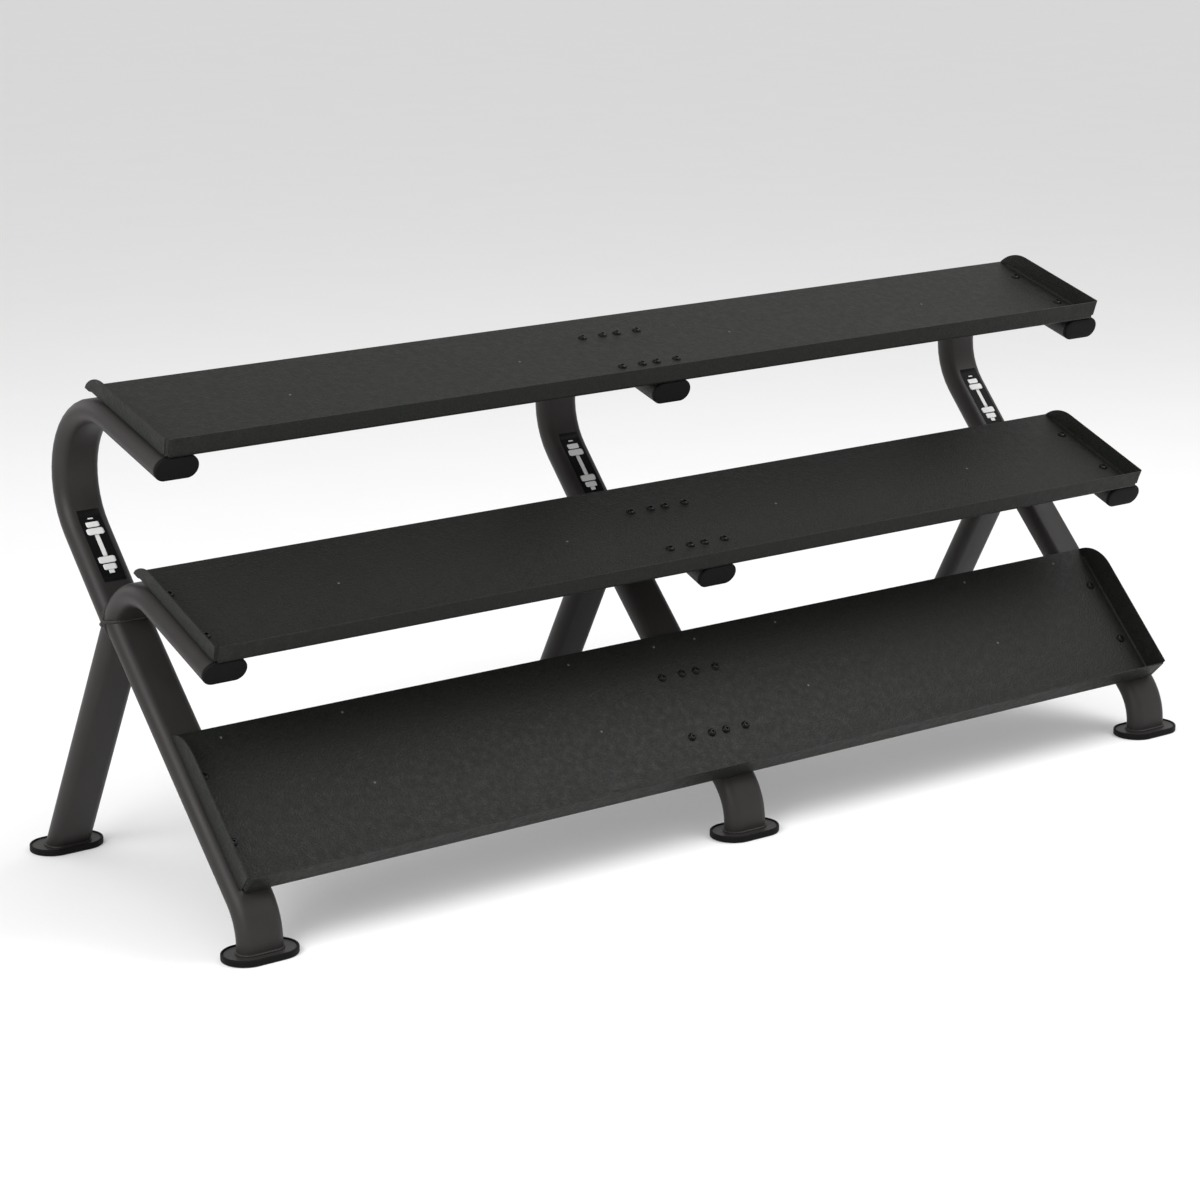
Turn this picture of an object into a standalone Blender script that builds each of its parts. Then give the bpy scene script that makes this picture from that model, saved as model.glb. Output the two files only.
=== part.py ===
"""Three-tier dumbbell rack: three bent flat-oval tube frames carrying three folded steel trays."""

import math

import bmesh
import bpy
from mathutils import Matrix, Vector

# Overall layout, in metres: X along the trays, Y from front to back, Z up.
frame_spacing = 1.190
foot_reach = 0.400
gap = 0.0003

# Flat-oval tube: two half circles joined by flats, the wide side along X.
tube_radius = 0.0245
tube_flat = 0.0243
tube_wall = 0.003
round_steps = 6

# Bent tube lines: angles from the vertical, centreline bend radii.
rear_leg_lean = math.radians(29.0)
upper_arm_lean = math.radians(42.5)
upper_arm_point = (0.3965, 0.8925)
mid_bend_radius = 0.130
top_bend_radius = 0.158
foot_bend_radius = 0.121

# Folded trays: one sheet thickness, wall flare, corner relief and rear corner radius for all three.
tray_length = 2.436
tray_sheet = 0.003
tray_flare = 0.08
tray_relief = 0.0025
tray_corner = 0.085
# Each tier: front bottom edge, tilt, front lip height, deck depth and the first bolt row behind the front edge.
tiers = {
    "top": {"y": -0.1580, "z": 0.9400, "tilt": math.radians(15.8), "lip": 0.040, "depth": 0.328, "bolts": 0.092},
    "middle": {"y": -0.3175, "z": 0.5700, "tilt": math.radians(20.8), "lip": 0.038, "depth": 0.328, "bolts": 0.087},
    "lower": {"y": -0.3860, "z": 0.1290, "tilt": math.radians(45.4), "lip": 0.057, "depth": 0.355, "bolts": 0.106},
}
arm_setback = 0.0

# Button-head bolts: two rows along each tray, single over an end frame, four wide over the middle one.
bolt_row_spacing = 0.149
bolt_inner = 0.019
bolt_outer = 0.0722
bolt_shank = 0.005
bolt_head = 0.010
bolt_head_height = 0.0055
bolt_socket = 0.0045
bolt_steps = 10
hole_clearance = 0.0004

# Mounting wings beside the middle frame's tube, each with its two outer bolts.
wing_thickness = 0.005
wing_width = 0.064
wing_length = 0.200

# Feet: a steel plate standing in a rubber boot with a raised rim.
boot_flat = 0.030
boot_radius = 0.0505
boot_floor = 0.0047
boot_height = 0.0135
boot_wall = 0.0050
plate_thickness = 0.006

# End caps: a domed rubber face outside the tube and a plug inside it.
cap_face = 0.008
cap_plug = 0.022

plate_top = boot_floor + gap + plate_thickness
frames = {"left": -frame_spacing, "centre": 0.0, "right": frame_spacing}


def clear_scene():
    for obj in list(bpy.data.objects):
        bpy.data.objects.remove(obj)


def make_material(name, colour, roughness, metallic):
    material = bpy.data.materials.new(name)
    material.use_nodes = True
    shader = material.node_tree.nodes["Principled BSDF"]
    shader.inputs["Base Color"].default_value = (*colour, 1.0)
    shader.inputs["Roughness"].default_value = roughness
    shader.inputs["Metallic"].default_value = metallic
    material.diffuse_color = (*colour, 1.0)
    return material


def add_object(name, mesh, material=None, location=(0, 0, 0), tilt=0.0):
    obj = bpy.data.objects.new(name, mesh)
    bpy.context.collection.objects.link(obj)
    obj.location = location
    obj.rotation_euler = (tilt, 0, 0)
    if material is not None and not mesh.materials:
        mesh.materials.append(material)
    return obj


def add_cutter(name, mesh, location=(0, 0, 0), tilt=0.0):
    obj = add_object(name, mesh, None, location, tilt)
    obj.hide_render = True
    obj.display_type = "WIRE"
    return obj


def cut(obj, cutter, operation="DIFFERENCE"):
    modifier = obj.modifiers.new(operation.title() + " " + cutter.name, "BOOLEAN")
    modifier.operation = operation
    modifier.solver = "EXACT"
    modifier.object = cutter


def finish_mesh(bm, name, angle=40.0):
    bmesh.ops.recalc_face_normals(bm, faces=bm.faces)
    mesh = bpy.data.meshes.new(name)
    bm.to_mesh(mesh)
    bm.free()
    for polygon in mesh.polygons:
        polygon.use_smooth = True
    mesh.set_sharp_from_angle(angle=math.radians(angle))
    return mesh


def join_rings(bm, before, after):
    for index in range(len(before)):
        bm.faces.new((before[index - 1], before[index], after[index], after[index - 1]))


def oval_outline(flat, radius, steps=round_steps):
    """Points of a flat oval, counter-clockwise, as (along X, across)."""
    points = []
    for side, start in ((1, -0.5), (-1, 0.5)):
        for step in range(steps + 1):
            angle = math.pi * (start + step / steps)
            points.append((side * flat + radius * math.cos(angle), radius * math.sin(angle)))
    return points


# ---- lines and bends in the side plane, where a point is (y, z) ----


def unit(angle_from_vertical):
    return Vector((math.sin(angle_from_vertical), math.cos(angle_from_vertical)))


def crossing(point, direction, other, other_direction):
    step = (other - point).x * other_direction.y - (other - point).y * other_direction.x
    step /= direction.x * other_direction.y - direction.y * other_direction.x
    return point + direction * step


def bend_points(corner, first, second, radius, steps):
    """Points of the arc that rounds a corner, from the leg along first to the leg along second."""
    half_angle = first.angle(second) / 2
    centre = corner + (first + second).normalized() * (radius / math.sin(half_angle))
    start = corner + first * (radius / math.tan(half_angle)) - centre
    end = corner + second * (radius / math.tan(half_angle)) - centre
    turn = math.pi - 2 * half_angle
    sign = 1 if start.x * end.y - start.y * end.x > 0 else -1
    points = []
    for step in range(steps + 1):
        angle = sign * turn * step / steps
        cosine, sine = math.cos(angle), math.sin(angle)
        points.append(centre + Vector((start.x * cosine - start.y * sine, start.x * sine + start.y * cosine)))
    return points


def tray_direction(tier):
    tilt = tiers[tier]["tilt"]
    return Vector((math.cos(tilt), math.sin(tilt)))


def under_tray(tier, distance):
    """Point of the tube centreline below a tray, at a distance behind its front edge."""
    tilt = tiers[tier]["tilt"]
    drop = tray_sheet + gap + tube_radius
    along = Vector((tiers[tier]["y"], tiers[tier]["z"])) + tray_direction(tier) * distance
    return along + Vector((math.sin(tilt), -math.cos(tilt))) * drop


rear_leg_up = unit(-rear_leg_lean)
rear_leg_foot = Vector((foot_reach, 0))
upper_arm_up = unit(upper_arm_lean)
mid_corner = crossing(rear_leg_foot, rear_leg_up, under_tray("middle", 0), tray_direction("middle"))
top_corner = crossing(Vector(upper_arm_point), upper_arm_up, under_tray("top", 0), tray_direction("top"))
foot_corner = crossing(Vector((-foot_reach, 0)), Vector((0, 1)), under_tray("lower", 0), tray_direction("lower"))
mid_arc = bend_points(mid_corner, -rear_leg_up, -tray_direction("middle"), mid_bend_radius, 7)
top_arc = bend_points(top_corner, -upper_arm_up, -tray_direction("top"), top_bend_radius, 11)
foot_arc = bend_points(foot_corner, Vector((0, -1)), tray_direction("lower"), foot_bend_radius, 4)


def rear_leg_line():
    start = rear_leg_foot + rear_leg_up * (plate_top + gap) / rear_leg_up.y
    return [start, *mid_arc, under_tray("middle", arm_setback + cap_face + gap)]


def front_leg_line():
    end = crossing(under_tray("lower", 0), tray_direction("lower"), rear_leg_foot, rear_leg_up)
    return [
        Vector((-foot_reach, plate_top + gap)),
        *foot_arc,
        end - tray_direction("lower") * 0.003,
    ]


def upper_arm_line():
    base = Vector(upper_arm_point)
    meet = crossing(base, upper_arm_up, rear_leg_foot, rear_leg_up)
    return [meet + upper_arm_up * 0.003, *top_arc, under_tray("top", arm_setback + cap_face + gap)]


# ---- swept tubes ----


def ring_directions(line):
    directions = []
    for index in range(len(line)):
        before = line[index] - line[max(index - 1, 0)]
        after = line[min(index + 1, len(line) - 1)] - line[index]
        directions.append((before.normalized() + after.normalized()).normalized())
    return directions


def ring_points(point, direction, flat, radius, level):
    """One ring square to the line, or slid along it onto the level plane when level is set."""
    across = Vector((-direction.y, direction.x))
    points = []
    for along_x, offset in oval_outline(flat, radius):
        place = point + across * offset
        if level is not None:
            place = place + direction * ((level - place.y) / direction.y)
        points.append(Vector((along_x, place.x, place.y)))
    return points


def sweep(bm, line, flat, radius, level=None):
    """Adds the skin of a swept flat oval and returns its first and last rings."""
    directions = ring_directions(line)
    rings = []
    for index, (point, direction) in enumerate(zip(line, directions)):
        points = ring_points(point, direction, flat, radius, level if index == 0 else None)
        rings.append([bm.verts.new(place) for place in points])
    for before, after in zip(rings, rings[1:]):
        join_rings(bm, before, after)
    return rings[0], rings[-1]


def tube_mesh(name, line, level=None):
    bm = bmesh.new()
    outer = sweep(bm, line, tube_flat, tube_radius, level)
    inner = sweep(bm, line, tube_flat, tube_radius - tube_wall, level)
    for outer_end, inner_end in zip(outer, inner):
        join_rings(bm, outer_end, inner_end)
    return finish_mesh(bm, name)


def solid_mesh(name, line, grow):
    bm = bmesh.new()
    for end in sweep(bm, line, tube_flat, tube_radius + grow):
        bm.faces.new(end)
    return finish_mesh(bm, name)


# ---- folded trays ----


def tray_mesh(name, lip, depth):
    """Flat deck with a front lip and two side walls, folded from one sheet."""
    half = tray_length / 2
    bm = bmesh.new()
    columns = (-half, -half + tray_relief, half - tray_relief, half)
    rows = (0.0, tray_relief, depth)
    grid = [[bm.verts.new((x, y, 0)) for x in columns] for y in rows]
    for y in range(2):
        for x in range(3):
            bm.faces.new((grid[y][x], grid[y][x + 1], grid[y + 1][x + 1], grid[y + 1][x]))
    lip_top = [bm.verts.new((x, 0, lip)) for x in columns[1:3]]
    bm.faces.new((grid[0][2], grid[0][1], lip_top[0], lip_top[1]))
    for side, column in ((-1, 0), (1, 3)):
        outline = [grid[1][column]]
        outline += [bm.verts.new(wall_point(side, y, z)) for y, z in wall_outline(lip, depth)]
        outline.append(grid[2][column])
        bm.faces.new(outline if side > 0 else outline[::-1])
    mesh = bpy.data.meshes.new(name)
    bm.to_mesh(mesh)
    bm.free()
    return mesh


def wall_point(side, y, z):
    return (side * (tray_length / 2 + tray_flare * z), y, z)


def wall_outline(lip, depth):
    """Top edge of a side wall, from the front corner round to just short of the deck's rear corner."""
    points = [(tray_relief, lip)]
    reach = math.sqrt(2 * tray_corner * lip - lip * lip)
    sweep_angle = math.asin(reach / tray_corner)
    steps = 7
    for step in range(steps):
        angle = sweep_angle * step / steps
        points.append((
            depth - reach + tray_corner * math.sin(angle),
            lip - tray_corner + tray_corner * math.cos(angle),
        ))
    return points


def thicken(obj):
    modifier = obj.modifiers.new("Sheet", "SOLIDIFY")
    modifier.thickness = tray_sheet
    modifier.offset = -1.0
    modifier.use_even_offset = True
    modifier.use_quality_normals = True


# ---- turned and plain pieces ----


def turned_mesh(name, profile, steps):
    """Turns (radius, height) points about Z."""
    bm = bmesh.new()
    verts = [bm.verts.new((radius, 0, height)) for radius, height in profile]
    edges = [bm.edges.new(pair) for pair in zip(verts, verts[1:])]
    bmesh.ops.spin(
        bm,
        geom=verts + edges,
        axis=(0, 0, 1),
        cent=(0, 0, 0),
        angle=2 * math.pi,
        steps=steps,
        use_merge=True,
    )
    bmesh.ops.remove_doubles(bm, verts=bm.verts, dist=0.00001)
    return finish_mesh(bm, name, 35.0)


def bolt_mesh():
    profile = [
        (0, -0.016),
        (bolt_shank, -0.016),
        (bolt_shank, gap),
        (bolt_head, gap),
        (bolt_head, 0.0022),
        (bolt_head * 0.72, bolt_head_height),
        (bolt_socket, bolt_head_height),
        (bolt_socket, 0.0030),
        (0, 0.0030),
    ]
    return turned_mesh("bolt", profile, bolt_steps)


def extruded_oval(name, levels):
    """Stacks flat ovals given as (flat, radius, height) and closes both ends."""
    bm = bmesh.new()
    rings = []
    for flat, radius, height in levels:
        rings.append([bm.verts.new((x, y, height)) for x, y in oval_outline(flat, radius)])
    for before, after in zip(rings, rings[1:]):
        join_rings(bm, before, after)
    bm.faces.new(rings[0])
    bm.faces.new(rings[-1])
    return finish_mesh(bm, name)


def boot_mesh():
    inner = boot_radius - boot_wall
    return extruded_oval("boot", [
        (boot_flat, inner - 0.004, boot_floor),
        (boot_flat, inner, boot_floor),
        (boot_flat, inner, boot_height),
        (boot_flat, boot_radius - 0.0015, boot_height),
        (boot_flat, boot_radius, boot_height - 0.002),
        (boot_flat, boot_radius, 0.001),
        (boot_flat, boot_radius - 0.001, 0.0),
    ])


def plate_mesh():
    radius = boot_radius - boot_wall - gap
    return extruded_oval("plate", [
        (boot_flat, radius, 0.0),
        (boot_flat, radius, plate_thickness - 0.001),
        (boot_flat, radius - 0.001, plate_thickness),
    ])


def cap_mesh():
    """Cap with its face at height 0, growing down the tube."""
    plug = tube_radius - tube_wall - gap
    return extruded_oval("cap", [
        (tube_flat, tube_radius - 0.0035, 0.0),
        (tube_flat, tube_radius - 0.001, -0.0012),
        (tube_flat, tube_radius, -0.0035),
        (tube_flat, tube_radius, -cap_face),
        (tube_flat, plug, -cap_face),
        (tube_flat, plug - 0.0008, -cap_face - cap_plug),
    ])


def wing_mesh(bolt):
    """Flat wing with its two bolts, as one body about the wing's centre."""
    bm = bmesh.new()
    bmesh.ops.create_cube(bm, size=1.0)
    bmesh.ops.scale(bm, vec=(wing_width, wing_length, wing_thickness), verts=bm.verts)
    top = -tray_sheet - gap
    bmesh.ops.translate(bm, vec=(0, 0, top - wing_thickness / 2), verts=bm.verts)
    upright = [edge for edge in bm.edges if abs(edge.verts[0].co.z - edge.verts[1].co.z) > 0.001]
    bmesh.ops.bevel(bm, geom=upright, offset=0.010, segments=2, profile=0.5, affect="EDGES")
    blank = add_cutter("wing_blank", finish_mesh(bm, "wing_blank"))
    spread = bolt_row_spacing / 2
    for side in (-1, 1):
        cut(blank, add_cutter("wing_bolt_%d" % side, bolt, (0, side * spread, 0)), "UNION")
    graph = bpy.context.evaluated_depsgraph_get()
    mesh = bpy.data.meshes.new_from_object(blank.evaluated_get(graph))
    for obj in [blank] + [modifier.object for modifier in blank.modifiers]:
        bpy.data.objects.remove(obj)
    mesh.materials.clear()
    return mesh


def tray_place(tier, x, distance):
    row = tiers[tier]
    matrix = Matrix.Translation((0, row["y"], row["z"])) @ Matrix.Rotation(row["tilt"], 4, "X")
    return matrix @ Vector((x, distance, 0))


def bolt_rows(tier):
    first = tiers[tier]["bolts"]
    return {"front": first, "rear": first + bolt_row_spacing}


def bolt_columns():
    columns = {"left": -frame_spacing, "right": frame_spacing}
    columns["centre_left"] = -bolt_inner
    columns["centre_right"] = bolt_inner
    return columns


def hole_cutter(tier):
    bm = bmesh.new()
    columns = list(bolt_columns().values()) + [-bolt_outer, bolt_outer]
    for x in columns:
        for distance in bolt_rows(tier).values():
            bmesh.ops.create_cone(
                bm,
                cap_ends=True,
                segments=bolt_steps,
                radius1=bolt_shank + hole_clearance,
                radius2=bolt_shank + hole_clearance,
                depth=0.025,
                matrix=Matrix.Translation((x, distance, -0.0095)),
            )
    place = tray_place(tier, 0, 0)
    return add_cutter("holes_" + tier, finish_mesh(bm, "holes_" + tier), place, tiers[tier]["tilt"])


def build_trays(steel, cutters):
    for tier, row in tiers.items():
        mesh = tray_mesh(tier + "_tray", row["lip"], row["depth"])
        tray = add_object(tier + "_tray", mesh, steel, tray_place(tier, 0, 0), row["tilt"])
        thicken(tray)
        cut(tray, cutters[tier])


def build_frames(steel, cutters):
    rear_line = rear_leg_line()
    rear = tube_mesh("rear_leg", rear_line, plate_top + gap)
    front = tube_mesh("front_leg", front_leg_line(), plate_top + gap)
    upper = tube_mesh("upper_arm", upper_arm_line())
    cope_mesh = solid_mesh("cope", rear_line, gap)
    for side, x in frames.items():
        cope = add_cutter("cope_" + side, cope_mesh, (x, 0, 0))
        leg = add_object(side + "_rear_leg", rear, steel, (x, 0, 0))
        cut(leg, cutters["middle"])
        leg = add_object(side + "_front_leg", front, steel, (x, 0, 0))
        cut(leg, cope)
        cut(leg, cutters["lower"])
        arm = add_object(side + "_upper_arm", upper, steel, (x, 0, 0))
        cut(arm, cope)
        cut(arm, cutters["top"])


def build_feet(steel, rubber):
    boot = boot_mesh()
    plate = plate_mesh()
    for side, x in frames.items():
        for end, y in (("front", -foot_reach), ("rear", foot_reach)):
            add_object("%s_%s_foot_boot" % (side, end), boot, rubber, (x, y, 0))
            add_object("%s_%s_foot_plate" % (side, end), plate, steel, (x, y, boot_floor + gap))


def build_caps(rubber):
    cap = cap_mesh()
    for side, x in frames.items():
        for tier in ("top", "middle"):
            place = under_tray(tier, arm_setback)
            tilt = tiers[tier]["tilt"] + math.pi / 2
            add_object("%s_%s_end_cap" % (side, tier), cap, rubber, (x, place.x, place.y), tilt)


def build_bolts(black, steel):
    bolt = bolt_mesh()
    wing = wing_mesh(bolt)
    for tier, place in tiers.items():
        tilt = place["tilt"]
        middle = place["bolts"] + bolt_row_spacing / 2
        for column, x in bolt_columns().items():
            for row, distance in bolt_rows(tier).items():
                name = "%s_%s_%s_bolt" % (tier, column, row)
                add_object(name, bolt, black, tray_place(tier, x, distance), tilt)
        for side, x in (("left", -bolt_outer), ("right", bolt_outer)):
            name = "%s_%s_mounting_wing" % (tier, side)
            add_object(name, wing, steel, tray_place(tier, x, middle), tilt)


clear_scene()
frame_steel = make_material("frame_steel", (0.055, 0.052, 0.050), 0.50, 0.6)
tray_steel = make_material("tray_steel", (0.050, 0.052, 0.047), 0.55, 0.6)
plate_steel = make_material("plate_steel", (0.060, 0.056, 0.055), 0.45, 0.6)
boot_rubber = make_material("boot_rubber", (0.012, 0.011, 0.012), 0.60, 0.0)
bolt_black = make_material("bolt_black", (0.020, 0.020, 0.020), 0.40, 0.8)
hole_cutters = {tier: hole_cutter(tier) for tier in tiers}
build_trays(tray_steel, hole_cutters)
build_frames(frame_steel, hole_cutters)
build_feet(plate_steel, boot_rubber)
build_caps(boot_rubber)
build_bolts(bolt_black, frame_steel)
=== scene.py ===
import math

import bmesh
import bpy
from mathutils import Matrix, Vector


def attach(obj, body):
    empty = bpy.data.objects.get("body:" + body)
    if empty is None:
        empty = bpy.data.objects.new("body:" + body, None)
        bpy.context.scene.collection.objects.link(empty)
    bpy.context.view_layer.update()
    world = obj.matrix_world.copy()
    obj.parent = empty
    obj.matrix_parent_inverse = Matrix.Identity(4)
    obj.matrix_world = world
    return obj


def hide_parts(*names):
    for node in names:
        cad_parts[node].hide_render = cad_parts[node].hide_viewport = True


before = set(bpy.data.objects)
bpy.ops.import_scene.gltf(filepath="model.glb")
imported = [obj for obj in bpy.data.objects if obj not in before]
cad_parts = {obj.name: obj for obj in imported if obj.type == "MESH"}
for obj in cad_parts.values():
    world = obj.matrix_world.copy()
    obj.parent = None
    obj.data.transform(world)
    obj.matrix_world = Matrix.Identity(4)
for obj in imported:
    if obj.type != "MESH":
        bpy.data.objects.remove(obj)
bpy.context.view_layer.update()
print("frame loaded, nodes:", len(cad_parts))

# metres and degrees; X runs along the trays, -Y is the front, Z is up
rack = {
    "frames": {"left": -1.190, "centre": 0.0, "right": 1.190},
    "footReach": 0.400,
    "gap": 0.0003,
}
tube = {
    "radius": 0.0245,
    "flat": 0.0243,
    "wall": 0.003,
    "segments": 40,
    "bendSteps": 18,
    "straightSteps": 10,
    "jointOverlap": 0.004,
    "capRoom": 0.0083,
    "rearLean": 29.0,
    "armLean": 42.5,
    "armPoint": (0.3965, 0.8925),
    "midBend": 0.130,
    "topBend": 0.158,
    "footBend": 0.121,
    "foot": 0.0113,
}
tray = {
    "length": 2.436,
    "sheet": 0.003,
    "flare": 0.08,
    "corner": 0.085,
    "notch": 0.0075,
    "slit": 0.0026,
    "slotTop": 0.0075,
    "fold": 0.0042,
    "foldEnd": 0.018,
    "edge": 0.0006,
    "arcSteps": 10,
}
tiers = {
    "top": {"y": -0.1580, "z": 0.9400, "tilt": 15.8, "lip": 0.040, "depth": 0.328, "bolts": 0.092},
    "middle": {"y": -0.3175, "z": 0.5700, "tilt": 20.8, "lip": 0.038, "depth": 0.328, "bolts": 0.087},
    "lower": {"y": -0.3860, "z": 0.1290, "tilt": 45.4, "lip": 0.057, "depth": 0.355, "bolts": 0.106},
}


# ---- small helpers ----
def bentDirection(degrees):
    return Vector((0, math.sin(math.radians(degrees)), math.cos(math.radians(degrees))))


def deckDirection(tier):
    tilt = math.radians(tiers[tier]["tilt"])
    return Vector((0, math.cos(tilt), math.sin(tilt)))


def deckNormal(tier):
    tilt = math.radians(tiers[tier]["tilt"])
    return Vector((0, -math.sin(tilt), math.cos(tilt)))


def deckMatrix(tier, x=0.0, distance=0.0, height=0.0):
    place = Matrix.Translation((0, tiers[tier]["y"], tiers[tier]["z"]))
    turn = Matrix.Rotation(math.radians(tiers[tier]["tilt"]), 4, "X")
    return place @ turn @ Matrix.Translation((x, distance, height))


def underDeck(tier, distance):
    drop = tray["sheet"] + rack["gap"] + tube["radius"]
    corner = Vector((0, tiers[tier]["y"], tiers[tier]["z"]))
    return corner + deckDirection(tier) * distance - deckNormal(tier) * drop


def crossing(pointA, alongA, pointB, alongB):
    # where two lines in the YZ plane meet
    across = pointB - pointA
    turn = alongA.y * alongB.z - alongA.z * alongB.y
    return pointA + alongA * ((across.y * alongB.z - across.z * alongB.y) / turn)


def newPiece(bm, name, material, replaced=(), sharpAngle=None):
    mesh = bpy.data.meshes.new(name)
    bm.to_mesh(mesh)
    bm.free()
    mesh.materials.append(material)
    mesh.shade_smooth()
    if sharpAngle is not None:
        mesh.set_sharp_from_angle(angle=math.radians(sharpAngle))
    piece = bpy.data.objects.new(name, mesh)
    bpy.context.scene.collection.objects.link(piece)
    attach(piece, "root")
    if replaced:
        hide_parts(*replaced)
    return piece


def extrudeEdges(bm, edges):
    # extrudes a row of edges in place; returns the new points, the new row and the new faces
    grown = bmesh.ops.extrude_edge_only(bm, edges=edges)["geom"]
    verts = [g for g in grown if isinstance(g, bmesh.types.BMVert)]
    faces = [g for g in grown if isinstance(g, bmesh.types.BMFace)]
    known = set(verts)
    row = [g for g in grown if isinstance(g, bmesh.types.BMEdge) and set(g.verts) <= known]
    return verts, row, faces


def softenEdges(piece, width, segments=2, angle=35):
    edgeBevel = piece.modifiers.new("edgeBevel", "BEVEL")
    edgeBevel.width = width
    edgeBevel.segments = segments
    edgeBevel.limit_method = "ANGLE"
    edgeBevel.angle_limit = math.radians(angle)
    edgeBevel.use_clamp_overlap = True
    evenShade = piece.modifiers.new("evenShade", "WEIGHTED_NORMAL")
    evenShade.keep_sharp = True
    evenShade.weight = 60


def ringStack(bm, rows, segments, matrix, fillEnd=True):
    # a flat-oval or round ring pulled through rows of (flat, radius, height)
    made = bmesh.ops.create_circle(bm, cap_ends=False, segments=segments, radius=1.0)
    ring = made["verts"]
    bmesh.ops.rotate(bm, verts=ring, matrix=Matrix.Rotation(math.pi / segments, 3, "Z"))
    angles = {v: math.atan2(v.co.y, v.co.x) for v in ring}
    edges = list({e for v in ring for e in v.link_edges})
    everything = list(ring)
    faces = []
    for index, (flat, radius, height) in enumerate(rows):
        if index:
            newRing, edges, newFaces = extrudeEdges(bm, edges)
            faces += newFaces
            oldAngles = angles
            angles = {}
            for v in newRing:
                partner = next(e.other_vert(v) for e in v.link_edges if e.other_vert(v) in oldAngles)
                angles[v] = oldAngles[partner]
            everything += newRing
        else:
            faces += bmesh.ops.contextual_create(bm, geom=edges)["faces"]
        for v, angle in angles.items():
            side = flat if math.cos(angle) > 0 else -flat
            v.co = Vector((side + radius * math.cos(angle), radius * math.sin(angle), height))
    if fillEnd:
        faces += bmesh.ops.contextual_create(bm, geom=edges)["faces"]
    bmesh.ops.recalc_face_normals(bm, faces=faces)
    bmesh.ops.transform(bm, matrix=matrix, verts=everything)
    return everything


# ---- shared shader groups ----
def newGroup(name, inputs, outputs):
    group = bpy.data.node_groups.new(name, "ShaderNodeTree")
    for socketName, value in inputs:
        socket = group.interface.new_socket(name=socketName, in_out="INPUT", socket_type="NodeSocketFloat")
        socket.default_value = value
    for socketName in outputs:
        group.interface.new_socket(name=socketName, in_out="OUTPUT", socket_type="NodeSocketFloat")
    source = group.nodes.new("NodeGroupInput")
    target = group.nodes.new("NodeGroupOutput")
    return group, source, target


def mathNode(tree, operation, first, second, clamp=False):
    node = tree.nodes.new("ShaderNodeMath")
    node.operation = operation
    node.use_clamp = clamp
    for socket, value in zip(node.inputs, (first, second)):
        if isinstance(value, (int, float)):
            socket.default_value = value
        else:
            tree.links.new(value, socket)
    return node.outputs[0]


def noiseNode(tree, vector, scale, detail=4.0, roughness=0.6):
    node = tree.nodes.new("ShaderNodeTexNoise")
    node.inputs["Detail"].default_value = detail
    node.inputs["Roughness"].default_value = roughness
    if isinstance(scale, (int, float)):
        node.inputs["Scale"].default_value = scale
    else:
        tree.links.new(scale, node.inputs["Scale"])
    tree.links.new(vector, node.inputs["Vector"])
    return node.outputs["Fac"]


def rangeNode(tree, value, low, high, toLow=0.0, toHigh=1.0):
    node = tree.nodes.new("ShaderNodeMapRange")
    node.clamp = True
    for index, entry in enumerate((value, low, high, toLow, toHigh)):
        if isinstance(entry, (int, float)):
            node.inputs[index].default_value = entry
        else:
            tree.links.new(entry, node.inputs[index])
    return node.outputs[0]


def objectCoords(tree):
    return tree.nodes.new("ShaderNodeTexCoord").outputs["Object"]


# orange-peel grain of baked powder: fine pebbles over slow ripples
powderGrain, grainIn, grainOut = newGroup(
    "powderGrain",
    (("Pebble Scale", 900.0), ("Ripple Scale", 60.0), ("Ripple Share", 0.35)),
    ("Height", "Speckle"))
coords = objectCoords(powderGrain)
pebbleNode = powderGrain.nodes.new("ShaderNodeTexVoronoi")
pebbleNode.feature = "SMOOTH_F1"
pebbleNode.inputs["Smoothness"].default_value = 0.8
powderGrain.links.new(coords, pebbleNode.inputs["Vector"])
powderGrain.links.new(grainIn.outputs["Pebble Scale"], pebbleNode.inputs["Scale"])
ripple = noiseNode(powderGrain, coords, grainIn.outputs["Ripple Scale"], 3.0, 0.5)
rippleShare = mathNode(powderGrain, "MULTIPLY", ripple, grainIn.outputs["Ripple Share"])
grainHeight = mathNode(powderGrain, "ADD", pebbleNode.outputs["Distance"], rippleShare)
powderGrain.links.new(grainHeight, grainOut.inputs["Height"])
speckle = noiseNode(powderGrain, coords, grainIn.outputs["Pebble Scale"], 2.0, 0.7)
powderGrain.links.new(rangeNode(powderGrain, speckle, 0.35, 0.65), grainOut.inputs["Speckle"])

# worn edges: where the surface turns sharply, broken up by noise
edgeWear, wearIn, wearOut = newGroup(
    "edgeWear", (("Start", 0.53), ("End", 0.60), ("Break Scale", 45.0)), ("Mask",))
pointiness = edgeWear.nodes.new("ShaderNodeNewGeometry").outputs["Pointiness"]
sharp = rangeNode(edgeWear, pointiness, wearIn.outputs["Start"], wearIn.outputs["End"])
breakNoise = noiseNode(edgeWear, objectCoords(edgeWear), wearIn.outputs["Break Scale"], 6.0, 0.7)
broken = rangeNode(edgeWear, breakNoise, 0.42, 0.62)
edgeWear.links.new(mathNode(edgeWear, "MULTIPLY", sharp, broken, True), wearOut.inputs["Mask"])

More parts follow.
